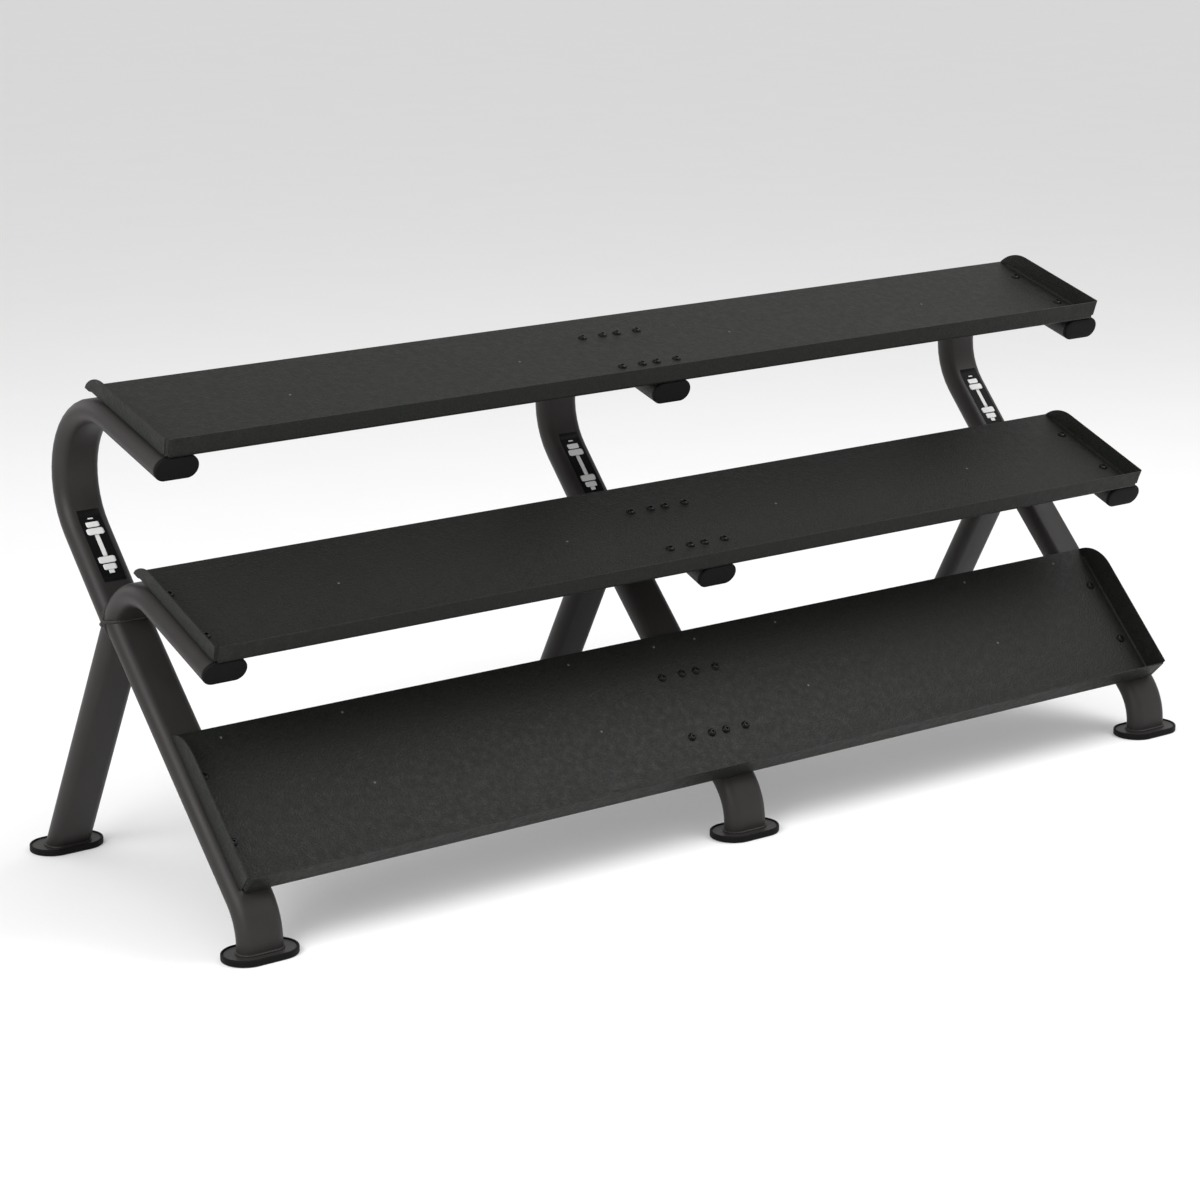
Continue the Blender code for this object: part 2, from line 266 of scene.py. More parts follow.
# thin dust on faces that look up, in cloudy patches
settledDust, dustIn, dustOut = newGroup(
    "settledDust", (("Cloud Scale", 5.0), ("Amount", 0.5)), ("Mask",))
facing = settledDust.nodes.new("ShaderNodeSeparateXYZ")
settledDust.links.new(settledDust.nodes.new("ShaderNodeNewGeometry").outputs["Normal"], facing.inputs[0])
upward = rangeNode(settledDust, facing.outputs["Z"], 0.25, 0.95)
dustCoords = objectCoords(settledDust)
cloudNoise = noiseNode(settledDust, dustCoords, dustIn.outputs["Cloud Scale"], 8.0, 0.65)
cloud = rangeNode(settledDust, cloudNoise, 0.35, 0.70)
fleck = rangeNode(settledDust, noiseNode(settledDust, dustCoords, 700.0, 2.0, 0.6), 0.45, 0.75, 0.4, 1.0)
dustMask = mathNode(settledDust, "MULTIPLY", mathNode(settledDust, "MULTIPLY", upward, cloud), fleck)
dustMask = mathNode(settledDust, "MULTIPLY", dustMask, dustIn.outputs["Amount"], True)
settledDust.links.new(dustMask, dustOut.inputs["Mask"])
print("shader groups ready")


def groupNode(tree, group, **values):
    node = tree.nodes.new("ShaderNodeGroup")
    node.node_tree = group
    for key, value in values.items():
        node.inputs[key.replace("_", " ")].default_value = value
    return node


def mixColour(tree, factor, first, second):
    node = tree.nodes.new("ShaderNodeMix")
    node.data_type = "RGBA"
    tree.links.new(factor, node.inputs["Factor"])
    for socket, value in ((node.inputs[6], first), (node.inputs[7], second)):
        if isinstance(value, tuple):
            socket.default_value = (*value, 1.0)
        else:
            tree.links.new(value, socket)
    return node.outputs[2]


def makeFinish(name, look):
    # every finish: two tones mottled together, grain bump, worn edges and dust, each with its own values
    material = bpy.data.materials.new(name)
    material.use_nodes = True
    tree = material.node_tree
    shader = tree.nodes["Principled BSDF"]
    grain = groupNode(
        tree, powderGrain, Pebble_Scale=look["pebble"], Ripple_Scale=look["ripple"],
        Ripple_Share=look["rippleShare"])
    wear = groupNode(tree, edgeWear, Start=look["wearStart"], End=look["wearEnd"])
    dust = groupNode(tree, settledDust, Cloud_Scale=look["cloud"], Amount=look["dust"])
    mottle = rangeNode(tree, noiseNode(tree, objectCoords(tree), look["mottle"], 6.0, 0.6), 0.32, 0.68)
    coat = mixColour(tree, mottle, look["dark"], look["light"])
    fleckMask = mathNode(tree, "MULTIPLY", grain.outputs["Speckle"], look["speckle"])
    coat = mixColour(tree, fleckMask, coat, look["fleck"])
    coat = mixColour(tree, wear.outputs["Mask"], coat, look["bare"])
    coat = mixColour(tree, dust.outputs["Mask"], coat, look["dustColour"])
    tree.links.new(coat, shader.inputs["Base Color"])
    rough = rangeNode(tree, mottle, 0.0, 1.0, look["roughLow"], look["roughHigh"])
    polish = mathNode(tree, "MULTIPLY", wear.outputs["Mask"], look["wearGloss"])
    rough = mathNode(tree, "SUBTRACT", rough, polish, True)
    dulling = mathNode(tree, "MULTIPLY", dust.outputs["Mask"], look["dustDulling"])
    rough = mathNode(tree, "ADD", rough, dulling, True)
    tree.links.new(rough, shader.inputs["Roughness"])
    bump = tree.nodes.new("ShaderNodeBump")
    bump.inputs["Strength"].default_value = look["bump"]
    bump.inputs["Distance"].default_value = look["bumpDepth"]
    tree.links.new(grain.outputs["Height"], bump.inputs["Height"])
    tree.links.new(bump.outputs["Normal"], shader.inputs["Normal"])
    if look["bareMetal"] > 0:
        metal = mathNode(tree, "MULTIPLY", wear.outputs["Mask"], look["bareMetal"])
        tree.links.new(metal, shader.inputs["Metallic"])
    shader.inputs["Specular IOR Level"].default_value = look["specular"]
    return material


coatLook = {
    "dark": (0.0185, 0.0164, 0.0158), "light": (0.0245, 0.0220, 0.0210), "fleck": (0.034, 0.031, 0.030),
    "bare": (0.050, 0.046, 0.043), "dustColour": (0.060, 0.056, 0.051), "bareMetal": 0.4,
    "speckle": 0.25, "mottle": 9.0, "pebble": 620.0, "ripple": 70.0, "rippleShare": 0.5,
    "wearStart": 0.54, "wearEnd": 0.66, "wearGloss": 0.10, "cloud": 4.0, "dust": 0.08, "dustDulling": 0.30,
    "roughLow": 0.40, "roughHigh": 0.50, "bump": 0.22, "bumpDepth": 0.0006, "specular": 0.22,
}
finishes = {
    "frameCoat": {},
    "trayCoat": {
        "dark": (0.0056, 0.0066, 0.0052), "light": (0.0084, 0.0095, 0.0077), "fleck": (0.024, 0.026, 0.022),
        "speckle": 0.35, "mottle": 60.0, "pebble": 260.0, "ripple": 110.0, "rippleShare": 0.6,
        "dust": 0.09, "cloud": 3.0,
        "roughLow": 0.42, "roughHigh": 0.58, "bump": 0.65, "bumpDepth": 0.0009, "specular": 0.155,
    },
    "plateCoat": {
        "dust": 0.14, "cloud": 14.0, "dark": (0.0185, 0.0165, 0.016), "light": (0.0245, 0.0220, 0.0212),
        "roughLow": 0.38, "roughHigh": 0.48, "specular": 0.24,
    },
    "weldCoat": {"bump": 0.6, "ripple": 240.0, "rippleShare": 1.2, "wearStart": 0.60, "wearEnd": 0.75},
    "bootRubber": {
        "dark": (0.0035, 0.0032, 0.0034), "light": (0.0060, 0.0055, 0.0057), "fleck": (0.010, 0.0095, 0.0095),
        "bare": (0.014, 0.013, 0.013), "bareMetal": 0.0, "pebble": 1400.0,
        "roughLow": 0.52, "roughHigh": 0.64,
        "bump": 0.30, "bumpDepth": 0.0004, "specular": 0.08, "dust": 0.06, "cloud": 18.0, "wearGloss": 0.06,
    },
    "boltBlack": {
        "dark": (0.0030, 0.0030, 0.0031), "light": (0.0055, 0.0054, 0.0053), "fleck": (0.012, 0.012, 0.012),
        "bare": (0.055, 0.053, 0.050), "bareMetal": 0.6, "pebble": 2200.0, "mottle": 60.0, "roughLow": 0.26,
        "roughHigh": 0.38, "bump": 0.12, "bumpDepth": 0.0002, "dust": 0.03, "cloud": 40.0, "specular": 0.13,
    },
    "labelBlack": {
        "dark": (0.0035, 0.0035, 0.0038), "light": (0.0050, 0.0050, 0.0052), "fleck": (0.008, 0.008, 0.008),
        "bareMetal": 0.0, "bare": (0.02, 0.02, 0.02), "pebble": 3000.0, "roughLow": 0.42, "roughHigh": 0.50,
        "bump": 0.05, "bumpDepth": 0.0001, "dust": 0.03, "specular": 0.06,
    },
    "labelWhite": {
        "dark": (0.62, 0.62, 0.61), "light": (0.74, 0.74, 0.73), "fleck": (0.80, 0.80, 0.79),
        "bareMetal": 0.0, "bare": (0.55, 0.55, 0.54), "dustColour": (0.50, 0.49, 0.47), "pebble": 3000.0,
        "roughLow": 0.34, "roughHigh": 0.42, "bump": 0.05, "bumpDepth": 0.0001, "dust": 0.10,
    },
    "spotPale": {
        "dark": (0.060, 0.062, 0.060), "light": (0.105, 0.108, 0.104), "fleck": (0.16, 0.16, 0.16),
        "bare": (0.22, 0.22, 0.21), "mottle": 160.0, "roughLow": 0.40, "roughHigh": 0.52, "pebble": 1500.0,
    },
}
materials = {name: makeFinish(name, {**coatLook, **look}) for name, look in finishes.items()}
print("materials:", ", ".join(materials))


# ---- bent flat-oval tubes ----
rearUp = bentDirection(-tube["rearLean"])
armUp = bentDirection(tube["armLean"])
rearFoot = Vector((0, rack["footReach"], 0))
frontFoot = Vector((0, -rack["footReach"], 0))
armBase = Vector((0, *tube["armPoint"]))
rearStart = rearFoot + rearUp * (tube["foot"] / rearUp.z)
midCorner = crossing(rearFoot, rearUp, underDeck("middle", 0), deckDirection("middle"))
topCorner = crossing(armBase, armUp, underDeck("top", 0), deckDirection("top"))
footCorner = crossing(frontFoot, Vector((0, 0, 1)), underDeck("lower", 0), deckDirection("lower"))
legJoint = crossing(underDeck("lower", 0), deckDirection("lower"), rearFoot, rearUp)
armJoint = crossing(armBase, armUp, rearFoot, rearUp)


def pullRing(bm, edges, vector, count):
    for _ in range(count):
        newVerts, edges, _faces = extrudeEdges(bm, edges)
        bmesh.ops.translate(bm, vec=vector / count, verts=newVerts)
    return edges


def bentTube(bm, start, corner, end, bendRadius, grow):
    # one straight run, one bend, one straight run
    into = (corner - start).normalized()
    out = (end - corner).normalized()
    turn = math.atan2(into.y * out.z - into.z * out.y, into.dot(out))
    tangent = bendRadius * math.tan(abs(turn) / 2)
    segments = tube["segments"]
    made = bmesh.ops.create_circle(bm, cap_ends=False, segments=segments, radius=tube["radius"] + grow)
    ring = made["verts"]
    bmesh.ops.rotate(bm, verts=ring, matrix=Matrix.Rotation(math.pi / segments, 3, "Z"))
    for side in (-1, 1):
        half = [v for v in ring if v.co.x * side > 0]
        bmesh.ops.translate(bm, vec=(side * tube["flat"], 0, 0), verts=half)
    stand = Matrix.Translation(start) @ Matrix.Rotation(math.atan2(-into.y, into.z), 4, "X")
    bmesh.ops.transform(bm, matrix=stand, verts=ring)
    edges = list({e for v in ring for e in v.link_edges})
    edges = pullRing(bm, edges, corner - start - into * tangent, tube["straightSteps"])
    side = 1 if turn > 0 else -1
    centre = corner - into * tangent + Vector((0, -into.z, into.y)) * bendRadius * side
    swept = bmesh.ops.spin(
        bm, geom=edges, cent=centre, axis=(1, 0, 0), angle=turn, steps=tube["bendSteps"], use_duplicate=False)
    edges = [g for g in swept["geom_last"] if isinstance(g, bmesh.types.BMEdge)]
    pullRing(bm, edges, end - corner - out * tangent, tube["straightSteps"])
    if abs(start.z - tube["foot"]) < 0.0001:
        # the foot end is cut level, to stand on its plate
        for v in ring:
            v.co += into * ((start.z - v.co.z) / into.z)


def tubeRuns():
    # start, corner, end and bend radius of each tube
    legEnd = legJoint + deckDirection("lower") * tube["jointOverlap"]
    armStart = armJoint - armUp * tube["jointOverlap"]
    frontStart = Vector((0, -rack["footReach"], tube["foot"]))
    return {
        "rear_leg": (rearStart, midCorner, underDeck("middle", tube["capRoom"]), tube["midBend"]),
        "front_leg": (frontStart, footCorner, legEnd, tube["footBend"]),
        "upper_arm": (armStart, topCorner, underDeck("top", tube["capRoom"]), tube["topBend"]),
    }


def closedRun(run, grow=0.0):
    bm = bmesh.new()
    bentTube(bm, *run, grow)
    bmesh.ops.holes_fill(bm, edges=bm.edges, sides=0)
    bmesh.ops.recalc_face_normals(bm, faces=bm.faces)
    return bm


def carve(mesh, cutterMesh):
    # takes the rear leg's room out of a tube that is welded to it, and keeps the result as a plain mesh
    target = bpy.data.objects.new("carveTarget", mesh)
    cutter = bpy.data.objects.new("carveCutter", cutterMesh)
    for helper in (target, cutter):
        bpy.context.scene.collection.objects.link(helper)
    trim = target.modifiers.new("trim", "BOOLEAN")
    trim.operation = "DIFFERENCE"
    trim.solver = "EXACT"
    trim.object = cutter
    graph = bpy.context.evaluated_depsgraph_get()
    result = bpy.data.meshes.new_from_object(target.evaluated_get(graph))
    bpy.data.objects.remove(target)
    bpy.data.objects.remove(cutter)
    return result


def meshOf(bm, name):
    mesh = bpy.data.meshes.new(name)
    bm.to_mesh(mesh)
    bm.free()
    return mesh


runs = tubeRuns()
rearCutter = meshOf(closedRun(runs["rear_leg"], grow=rack["gap"]), "rearCutter")
tubeMeshes = {}
for tubeName, run in runs.items():
    solid = meshOf(closedRun(run), tubeName)
    tubeMeshes[tubeName] = solid if tubeName == "rear_leg" else carve(solid, rearCutter)
for side, x in rack["frames"].items():
    for tubeName, source in tubeMeshes.items():
        bm = bmesh.new()
        bm.from_mesh(source)
        bmesh.ops.remove_doubles(bm, verts=bm.verts, dist=0.00002)
        bmesh.ops.translate(bm, vec=(x, 0, 0), verts=bm.verts)
        node = side + "_" + tubeName
        newPiece(bm, node + "_tube", materials["frameCoat"], [node], sharpAngle=40)
print("tubes done")


# ---- folded trays ----
def wallHeight(distance, lip, depth):
    # side walls run level, then curve down to the deck's rear corner on a large radius
    reach = math.sqrt(2 * tray["corner"] * lip - lip * lip)
    back = distance - (depth - reach)
    if back <= 0:
        return lip
    return max(0.0, lip - tray["corner"] + math.sqrt(max(0.0, tray["corner"] ** 2 - back * back)))


def pickEdges(bm, test):
    return [e for e in bm.edges if all(test(v.co) for v in e.verts)]


def foldTray(tier):
    half, notch, slit = tray["length"] / 2, tray["notch"], tray["slit"]
    lip, depth = tiers[tier]["lip"], tiers[tier]["depth"]
    bm = bmesh.new()
    bmesh.ops.create_grid(bm, x_segments=1, y_segments=1, size=0.5)
    bmesh.ops.scale(bm, vec=(2 * half, depth, 1), verts=bm.verts)
    bmesh.ops.translate(bm, vec=(0, depth / 2, 0), verts=bm.verts)
    reach = math.sqrt(2 * tray["corner"] * lip - lip * lip)
    sweepAngle = math.asin(reach / tray["corner"])
    cuts = [((x, 0, 0), (1, 0, 0)) for x in (notch - half, half - notch, -half / 2, 0, half / 2)]
    cuts += [((0, notch, 0), (0, 1, 0)), ((0, depth / 2, 0), (0, 1, 0))]
    for step in range(tray["arcSteps"]):
        row = depth - reach + tray["corner"] * math.sin(sweepAngle * step / tray["arcSteps"])
        cuts.append(((0, row, 0), (0, 1, 0)))
    for point, normal in cuts:
        geometry = bm.verts[:] + bm.edges[:] + bm.faces[:]
        bmesh.ops.bisect_plane(bm, geom=geometry, dist=0.00001, plane_co=point, plane_no=normal)
    middles = {f: f.calc_center_median() for f in bm.faces}
    corners = [f for f in bm.faces if abs(middles[f].x) > half - notch and middles[f].y < notch]
    bmesh.ops.delete(bm, geom=corners, context="FACES")
    near = 0.00005
    lipEdges = pickEdges(bm, lambda co: abs(co.y) < near)
    slotLow = tray["slotTop"] - 0.0007
    for level, spread in ((slotLow, 0.0), (tray["slotTop"], notch - slit), (lip, notch - slit)):
        fresh, lipEdges, _faces = extrudeEdges(bm, lipEdges)
        for v in fresh:
            v.co.z = level
            if abs(v.co.x) > half - notch - near and spread:
                v.co.x = math.copysign(half - notch + spread, v.co.x)
    wallEdges = pickEdges(bm, lambda co: abs(abs(co.x) - half) < near and co.z < near)
    for level, front in ((slotLow, notch), (tray["slotTop"], slit), (lip, slit)):
        fresh, wallEdges, _faces = extrudeEdges(bm, wallEdges)
        for v in fresh:
            if v.co.y < notch + near:
                v.co.y = front
            v.co.z = min(level, wallHeight(v.co.y, lip, depth))
            v.co.x = math.copysign(half + tray["flare"] * v.co.z, v.co.x)
    bmesh.ops.remove_doubles(bm, verts=bm.verts, dist=0.00004)
    bmesh.ops.dissolve_degenerate(bm, edges=bm.edges, dist=0.00004)
    folds = pickEdges(bm, lambda co: abs(co.y) < near and abs(co.z) < near)
    foldEnd = depth - tray["foldEnd"]
    folds += pickEdges(
        bm, lambda co: abs(abs(co.x) - half) < near and abs(co.z) < near and co.y < foldEnd)
    bmesh.ops.bevel(
        bm, geom=folds, offset=tray["fold"], offset_type="OFFSET", segments=4, profile=0.5,
        affect="EDGES", material=-1, clamp_overlap=True)
    bmesh.ops.recalc_face_normals(bm, faces=bm.faces)
    deckFace = max(bm.faces, key=lambda f: f.calc_area())
    if deckFace.normal.z < 0:
        bmesh.ops.reverse_faces(bm, faces=bm.faces)
    bmesh.ops.transform(bm, matrix=deckMatrix(tier), verts=bm.verts)
    piece = newPiece(bm, tier + "_folded_tray", materials["trayCoat"], [tier + "_tray"])
    sheet = piece.modifiers.new("sheet", "SOLIDIFY")
    sheet.thickness = tray["sheet"]
    sheet.offset = -1.0
    sheet.use_even_offset = True
    sheet.use_quality_normals = True
    softenEdges(piece, tray["edge"], segments=2, angle=50)


for tier in tiers:
    foldTray(tier)
print("trays done")


# ---- pale spot marks where studs are welded below the deck ----
spots = {
    "radius": 0.0027,
    "height": 0.00035,
    "places": {
        "top": [(x, 0.176) for x in (-0.84, -0.28, 0.28, 0.84)],
        "middle": [(x, 0.175) for x in (-0.84, -0.28, 0.28, 0.84)],
        "lower": [(x, 0.330) for x in (-1.12, -0.84, -0.28, -0.055, 0.055, 0.28, 0.84, 1.12)]
        + [(x, 0.164) for x in (-0.84, -0.28, 0.28, 0.84)],
    },
}
for tier, places in spots["places"].items():
    bm = bmesh.new()
    radius, height = spots["radius"], spots["height"]
    dimple = [
        (0, radius, 0.00002), (0, radius, height * 0.4),
        (0, radius * 0.75, height), (0, radius * 0.35, height * 0.7)]
    for x, distance in places:
        ringStack(bm, dimple, 16, deckMatrix(tier, x, distance))
    newPiece(bm, tier + "_spot_marks", materials["spotPale"])
print("spot marks done")


# ---- button-head bolts ----
bolt = {
    "rowSpacing": 0.149,
    "segments": 24,
    "inner": 0.019,
    "outer": 0.0722,
    "washer": 0.0100,
    "head": 0.0091,
    "height": 0.0055,
    "socket": 0.0034,
    "socketDepth": 0.0030,
    "shank": 0.0050,
    "tip": -0.0175,
    "nutApothem": 0.0080,
    "nutHeight": 0.0059,
    "nutWasher": 0.0098,
    "nutWasherHeight": 0.0012,
}
wing = {"thickness": 0.005, "width": 0.064, "length": 0.200, "corner": 0.010}


def shapeHex(verts, matrix, apothem):
    # pulls a round ring onto a hexagon of the same centre
    back = matrix.inverted()
    for v in verts:
        local = back @ v.co
        angle = math.atan2(local.y, local.x)
        radius = apothem / math.cos((angle % (math.pi / 3)) - math.pi / 6)
        v.co = matrix @ Vector((radius * math.cos(angle), radius * math.sin(angle), local.z))


def addHead(bm, matrix):
    # washer and button head in one turned outline, then the hex socket sunk into its top
    gap, washer, head, height = rack["gap"], bolt["washer"], bolt["head"], bolt["height"]
    outline = [
        (0, washer - 0.0004, gap), (0, washer, gap + 0.0003),
        (0, washer, gap + 0.0009), (0, washer - 0.0003, gap + 0.0012),
        (0, head, gap + 0.0012), (0, head, gap + 0.0018),
        (0, head * 0.93, gap + 0.0030), (0, head * 0.78, gap + 0.0042),
        (0, head * 0.60, height - 0.0002), (0, head * 0.50, height)]
    turned = ringStack(bm, outline, bolt["segments"], matrix, fillEnd=False)
    edges = [e for e in bm.edges if e.is_boundary and all(v in turned for v in e.verts)]
    fresh, edges, _faces = extrudeEdges(bm, edges)
    shapeHex(fresh, matrix, bolt["socket"])
    fresh, edges, _faces = extrudeEdges(bm, edges)
    down = (matrix.to_3x3() @ Vector((0, 0, -1))) * bolt["socketDepth"]
    bmesh.ops.translate(bm, vec=down, verts=fresh)
    bmesh.ops.contextual_create(bm, geom=edges)


def addShank(bm, matrix):
    shank, tip = bolt["shank"], bolt["tip"]
    outline = [(0, shank, rack["gap"] + 0.0001), (0, shank, tip + 0.001), (0, shank - 0.0008, tip)]
    ringStack(bm, outline, 16, matrix)


def addNut(bm, matrix):
    # a flat washer and a hex nut, tight under the wing
    top = -tray["sheet"] - rack["gap"] - wing["thickness"] - 0.0001
    washer, thick = bolt["nutWasher"], bolt["nutWasherHeight"]
    outline = [
        (0, washer - 0.0003, top), (0, washer, top - 0.0002),
        (0, washer, top - thick + 0.0002), (0, washer - 0.0003, top - thick)]
    ringStack(bm, outline, bolt["segments"], matrix)
    apothem, high = bolt["nutApothem"], top - thick - 0.0001
    low = high - bolt["nutHeight"]
    outline = [(0, apothem, high), (0, apothem, high - 0.0006), (0, apothem, low + 0.0006), (0, apothem, low)]
    shapeHex(ringStack(bm, outline, bolt["segments"], matrix), matrix, apothem)


def boltColumns():
    frames = rack["frames"]
    return {
        "left": frames["left"], "right": frames["right"],
        "centre_left": -bolt["inner"], "centre_right": bolt["inner"],
    }


for tier in tiers:
    first = tiers[tier]["bolts"]
    for column, x in boltColumns().items():
        for row, distance in (("front", first), ("rear", first + bolt["rowSpacing"])):
            bm = bmesh.new()
            place = deckMatrix(tier, x, distance)
            addHead(bm, place)
            addShank(bm, place)
            bmesh.ops.recalc_face_normals(bm, faces=bm.faces)
            node = "%s_%s_%s_bolt" % (tier, column, row)
            newPiece(bm, node + "_button", materials["boltBlack"], [node], sharpAngle=32)
print("bolts done")


# ---- mounting wings beside the middle frame, their outer bolts and nuts ----
for tier in tiers:
    middle = tiers[tier]["bolts"] + bolt["rowSpacing"] / 2
    top = -tray["sheet"] - rack["gap"]
    for side, x in (("left", -bolt["outer"]), ("right", bolt["outer"])):
        bm = bmesh.new()
        bmesh.ops.create_cube(bm, size=1.0)
        bmesh.ops.scale(bm, vec=(wing["width"], wing["length"], wing["thickness"]), verts=bm.verts)
        upright = [e for e in bm.edges if abs(e.verts[0].co.z - e.verts[1].co.z) > 0.001]
        bmesh.ops.bevel(
            bm, geom=upright, offset=wing["corner"], segments=6, profile=0.5, affect="EDGES", material=-1)
        place = deckMatrix(tier, x, middle, top - wing["thickness"] / 2)
        bmesh.ops.transform(bm, matrix=place, verts=bm.verts)
        node = "%s_%s_mounting_wing" % (tier, side)
        plate = newPiece(bm, node + "_plate", materials["frameCoat"], [node])
        softenEdges(plate, 0.0007)
        bm = bmesh.new()
        for offset in (-0.5, 0.5):
            place = deckMatrix(tier, x, middle + offset * bolt["rowSpacing"])
            addHead(bm, place)
            addShank(bm, place)
            addNut(bm, place)
        bmesh.ops.recalc_face_normals(bm, faces=bm.faces)
        newPiece(bm, node + "_outer_bolts", materials["boltBlack"], sharpAngle=32)
print("wings done")


# ---- rubber end caps ----
cap = {"face": 0.008, "plug": 0.022, "plugGap": 0.0004}
for side, x in rack["frames"].items():
    for tier in ("top", "middle"):
        flat, radius, face = tube["flat"], tube["radius"], cap["face"]
        plug = radius - tube["wall"] - cap["plugGap"]
        plugEnd = -face - cap["plug"]
        rows = [
            (flat * 0.55, radius * 0.55, 0.0), (flat * 0.85, radius * 0.80, -0.0002),
            (flat, radius - 0.0036, -0.0006), (flat, radius - 0.0022, -0.0008),
            (flat, radius - 0.0010, -0.0016), (flat, radius - 0.0003, -0.0028),
            (flat, radius, -0.0042), (flat, radius, -face + 0.0006), (flat, radius - 0.0006, -face),
            (flat, plug, -face), (flat, plug, plugEnd + 0.002), (flat, plug - 0.0016, plugEnd)]
        tilt = math.radians(tiers[tier]["tilt"]) + math.pi / 2
        place = underDeck(tier, 0.0)
        turned = Matrix.Translation((x, place.y, place.z)) @ Matrix.Rotation(tilt, 4, "X")
        bm = bmesh.new()
        ringStack(bm, rows, tube["segments"], turned)
        node = "%s_%s_end_cap" % (side, tier)
        newPiece(bm, node + "_moulding", materials["bootRubber"], [node], sharpAngle=50)
print("end caps done")


# ---- feet: a steel plate standing in a rubber boot ----
foot = {
    "flat": 0.030,
    "radius": 0.0505,
    "height": 0.0135,
    "floor": 0.0047,
    "rim": 0.0050,
    "plate": 0.006,
    "segments": 56,
}
for side, x in rack["frames"].items():
    for end, y in (("front", -rack["footReach"]), ("rear", rack["footReach"])):
        flat, radius, top = foot["flat"], foot["radius"], foot["height"]
        inside = radius - foot["rim"]
        node = "%s_%s_foot" % (side, end)
        place = Matrix.Translation((x, y, 0))
        rows = [
            (flat, radius - 0.0100, 0.0), (flat, radius - 0.0014, 0.0),
            (flat, radius - 0.0003, 0.0006), (flat, radius, 0.0018),
            (flat, radius, top - 0.0024), (flat, radius - 0.0005, top - 0.0010),
            (flat, radius - 0.0016, top - 0.0002), (flat, radius - 0.0026, top),
            (flat, inside + 0.0010, top - 0.0004), (flat, inside + 0.0002, top - 0.0012),
            (flat, inside, top - 0.0024), (flat, inside, foot["floor"] + 0.0003),
            (flat, inside - 0.0010, foot["floor"])]
        bm = bmesh.new()
        ringStack(bm, rows, foot["segments"], place)
        newPiece(
            bm, node + "_rubber_boot", materials["bootRubber"], [node + "_boot"],
            sharpAngle=50)
        low = foot["floor"] + rack["gap"]
        high = low + foot["plate"]
        edge = inside - 0.0003
        rows = [
            (flat, edge - 0.0008, low), (flat, edge, low + 0.0006), (flat, edge, high - 0.0009),
            (flat, edge - 0.0003, high - 0.0003), (flat, edge - 0.0010, high), (flat, edge - 0.0040, high)]
        bm = bmesh.new()
        ringStack(bm, rows, foot["segments"], place)
        newPiece(
            bm, node + "_steel_plate", materials["plateCoat"], [node + "_plate"],
            sharpAngle=50)
print("feet done")


# ---- weld beads ----
weld = {"joint": 0.0036, "foot": 0.0030, "wing": 0.0022, "ripple": 0.16}


def layBead(name, points, thickness, closed):
    # a rippled bead: a bevelled curve whose radius swells at each stack of dimes
    curve = bpy.data.curves.new(name, "CURVE")
    curve.dimensions = "3D"
    curve.bevel_depth = thickness
    curve.bevel_resolution = 3
    curve.use_fill_caps = not closed
    spline = curve.splines.new("POLY")
    spline.points.add(len(points) - 1)
    for index, point in enumerate(points):
        spline.points[index].co = (*point, 1.0)
        ends = 1.0 if closed else min(1.0, 0.45 + 0.2 * min(index, len(points) - 1 - index))
        spline.points[index].radius = ends * (1.0 + weld["ripple"] * (1 if index % 3 == 0 else -0.4))
    spline.use_cyclic_u = closed
    holder = bpy.data.objects.new(name, curve)
    bpy.context.scene.collection.objects.link(holder)
    graph = bpy.context.evaluated_depsgraph_get()
    mesh = bpy.data.meshes.new_from_object(holder.evaluated_get(graph))
    bpy.data.objects.remove(holder)
    bm = bmesh.new()
    bm.from_mesh(mesh)
    bpy.data.meshes.remove(mesh)
    bmesh.ops.remove_doubles(bm, verts=bm.verts, dist=0.00001)
    bmesh.ops.recalc_face_normals(bm, faces=bm.faces)
    newPiece(bm, name, materials["weldCoat"])


def ovalSteps(count):
    # even steps round the flat oval: (x, offset) pairs
    flat, radius = tube["flat"], tube["radius"]
    quarter = math.pi * radius
    total = 2 * quarter + 4 * flat
    pairs = []
    for index in range(count):
        travel = total * index / count
        if travel < quarter:
            angle = travel / radius - math.pi / 2
            pairs.append((flat + radius * math.cos(angle), radius * math.sin(angle)))
        elif travel < quarter + 2 * flat:
            pairs.append((flat - (travel - quarter), radius))
        elif travel < 2 * quarter + 2 * flat:
            angle = (travel - quarter - 2 * flat) / radius + math.pi / 2
            pairs.append((-flat + radius * math.cos(angle), radius * math.sin(angle)))
        else:
            pairs.append((-flat + (travel - 2 * quarter - 2 * flat), -radius))
    return pairs


def jointBead(x, along, joint, outward, count=132):
    # the line where a tube meets the rear leg's rounded side
    normal = Vector((0, -along.z, along.y))
    points = []
    for across, offset in ovalSteps(count):
        side = abs(offset) + 0.0004
        meet = crossing(joint + normal * offset * 1.01, along, joint + outward * side, rearUp)
        points.append(Vector((x + across * 1.01, meet.y, meet.z)))
    return points


